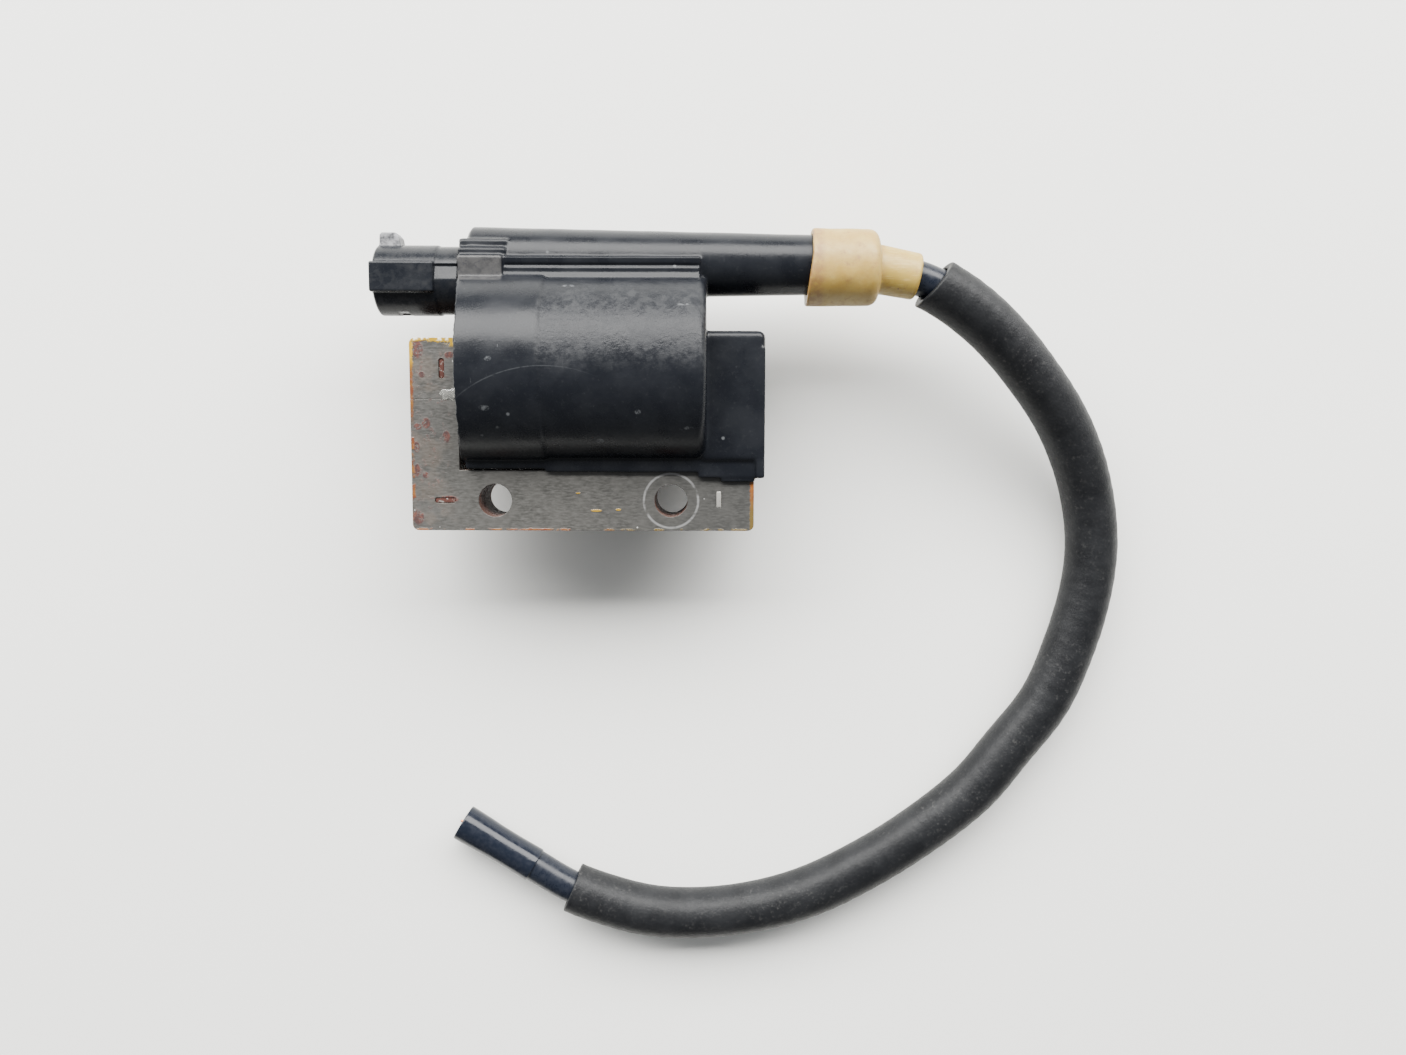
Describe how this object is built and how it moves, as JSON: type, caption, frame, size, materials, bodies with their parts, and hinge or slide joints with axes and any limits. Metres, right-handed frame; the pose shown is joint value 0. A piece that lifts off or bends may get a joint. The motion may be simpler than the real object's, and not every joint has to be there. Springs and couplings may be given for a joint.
{
  "type": "ignition coil",
  "caption": "Small-engine ignition coil with a laminated core, a sealed plug-in connector, and a sleeved high tension lead with its end cut off.",
  "frame": {"origin": "midway between the two mounting holes, on the underside of the core's bolted leg", "axes": "+X along the coil towards the high tension lead, +Y from the bolted leg towards the coil, +Z out of the core's upper face, along the mounting holes"},
  "size_m": [0.1555, 0.1551, 0.039],
  "materials": {
    "case_plastic": "satin moulded, scuffed",
    "connector_plastic": "satin moulded",
    "lamination_steel": "rolled sheet, punched, varnish stained and lightly rusted",
    "terminal_tin": "tin plated",
    "contact_brass": "turned",
    "winding_copper": "enamelled wire",
    "conductor_copper": "bare strands",
    "bobbin_plastic": "moulded",
    "tape_film": "polyester film",
    "epoxy": "poured",
    "solder": "bright",
    "boot_rubber": "aged translucent rubber, dirty",
    "lead_jacket": "glossy",
    "hose_rubber": "matte, scuffed",
    "sleeve_plastic": "glossy"
  },
  "bodies": {
    "root": {"coil_case": "case_plastic", "connector_shell": "connector_plastic", "terminal_power": "terminal_tin", "terminal_signal": "terminal_tin", "u_core": "lamination_steel", "bar_core": "lamination_steel", "primary_bobbin": "bobbin_plastic", "primary_winding": "winding_copper", "insulation_tape": "tape_film", "secondary_bobbin": "bobbin_plastic", "secondary_winding": "winding_copper", "potting_compound": "epoxy", "primary_wire_power": "winding_copper", "primary_wire_signal": "winding_copper", "secondary_start_wire": "winding_copper", "solder_joints": "solder", "hv_link": "terminal_tin", "hv_contact": "contact_brass", "lead_boot": "boot_rubber", "lead_insulation": "lead_jacket", "lead_conductor": "conductor_copper", "protective_hose": "hose_rubber", "lead_end_sleeve": "sleeve_plastic"}
  },
  "joints": []
}
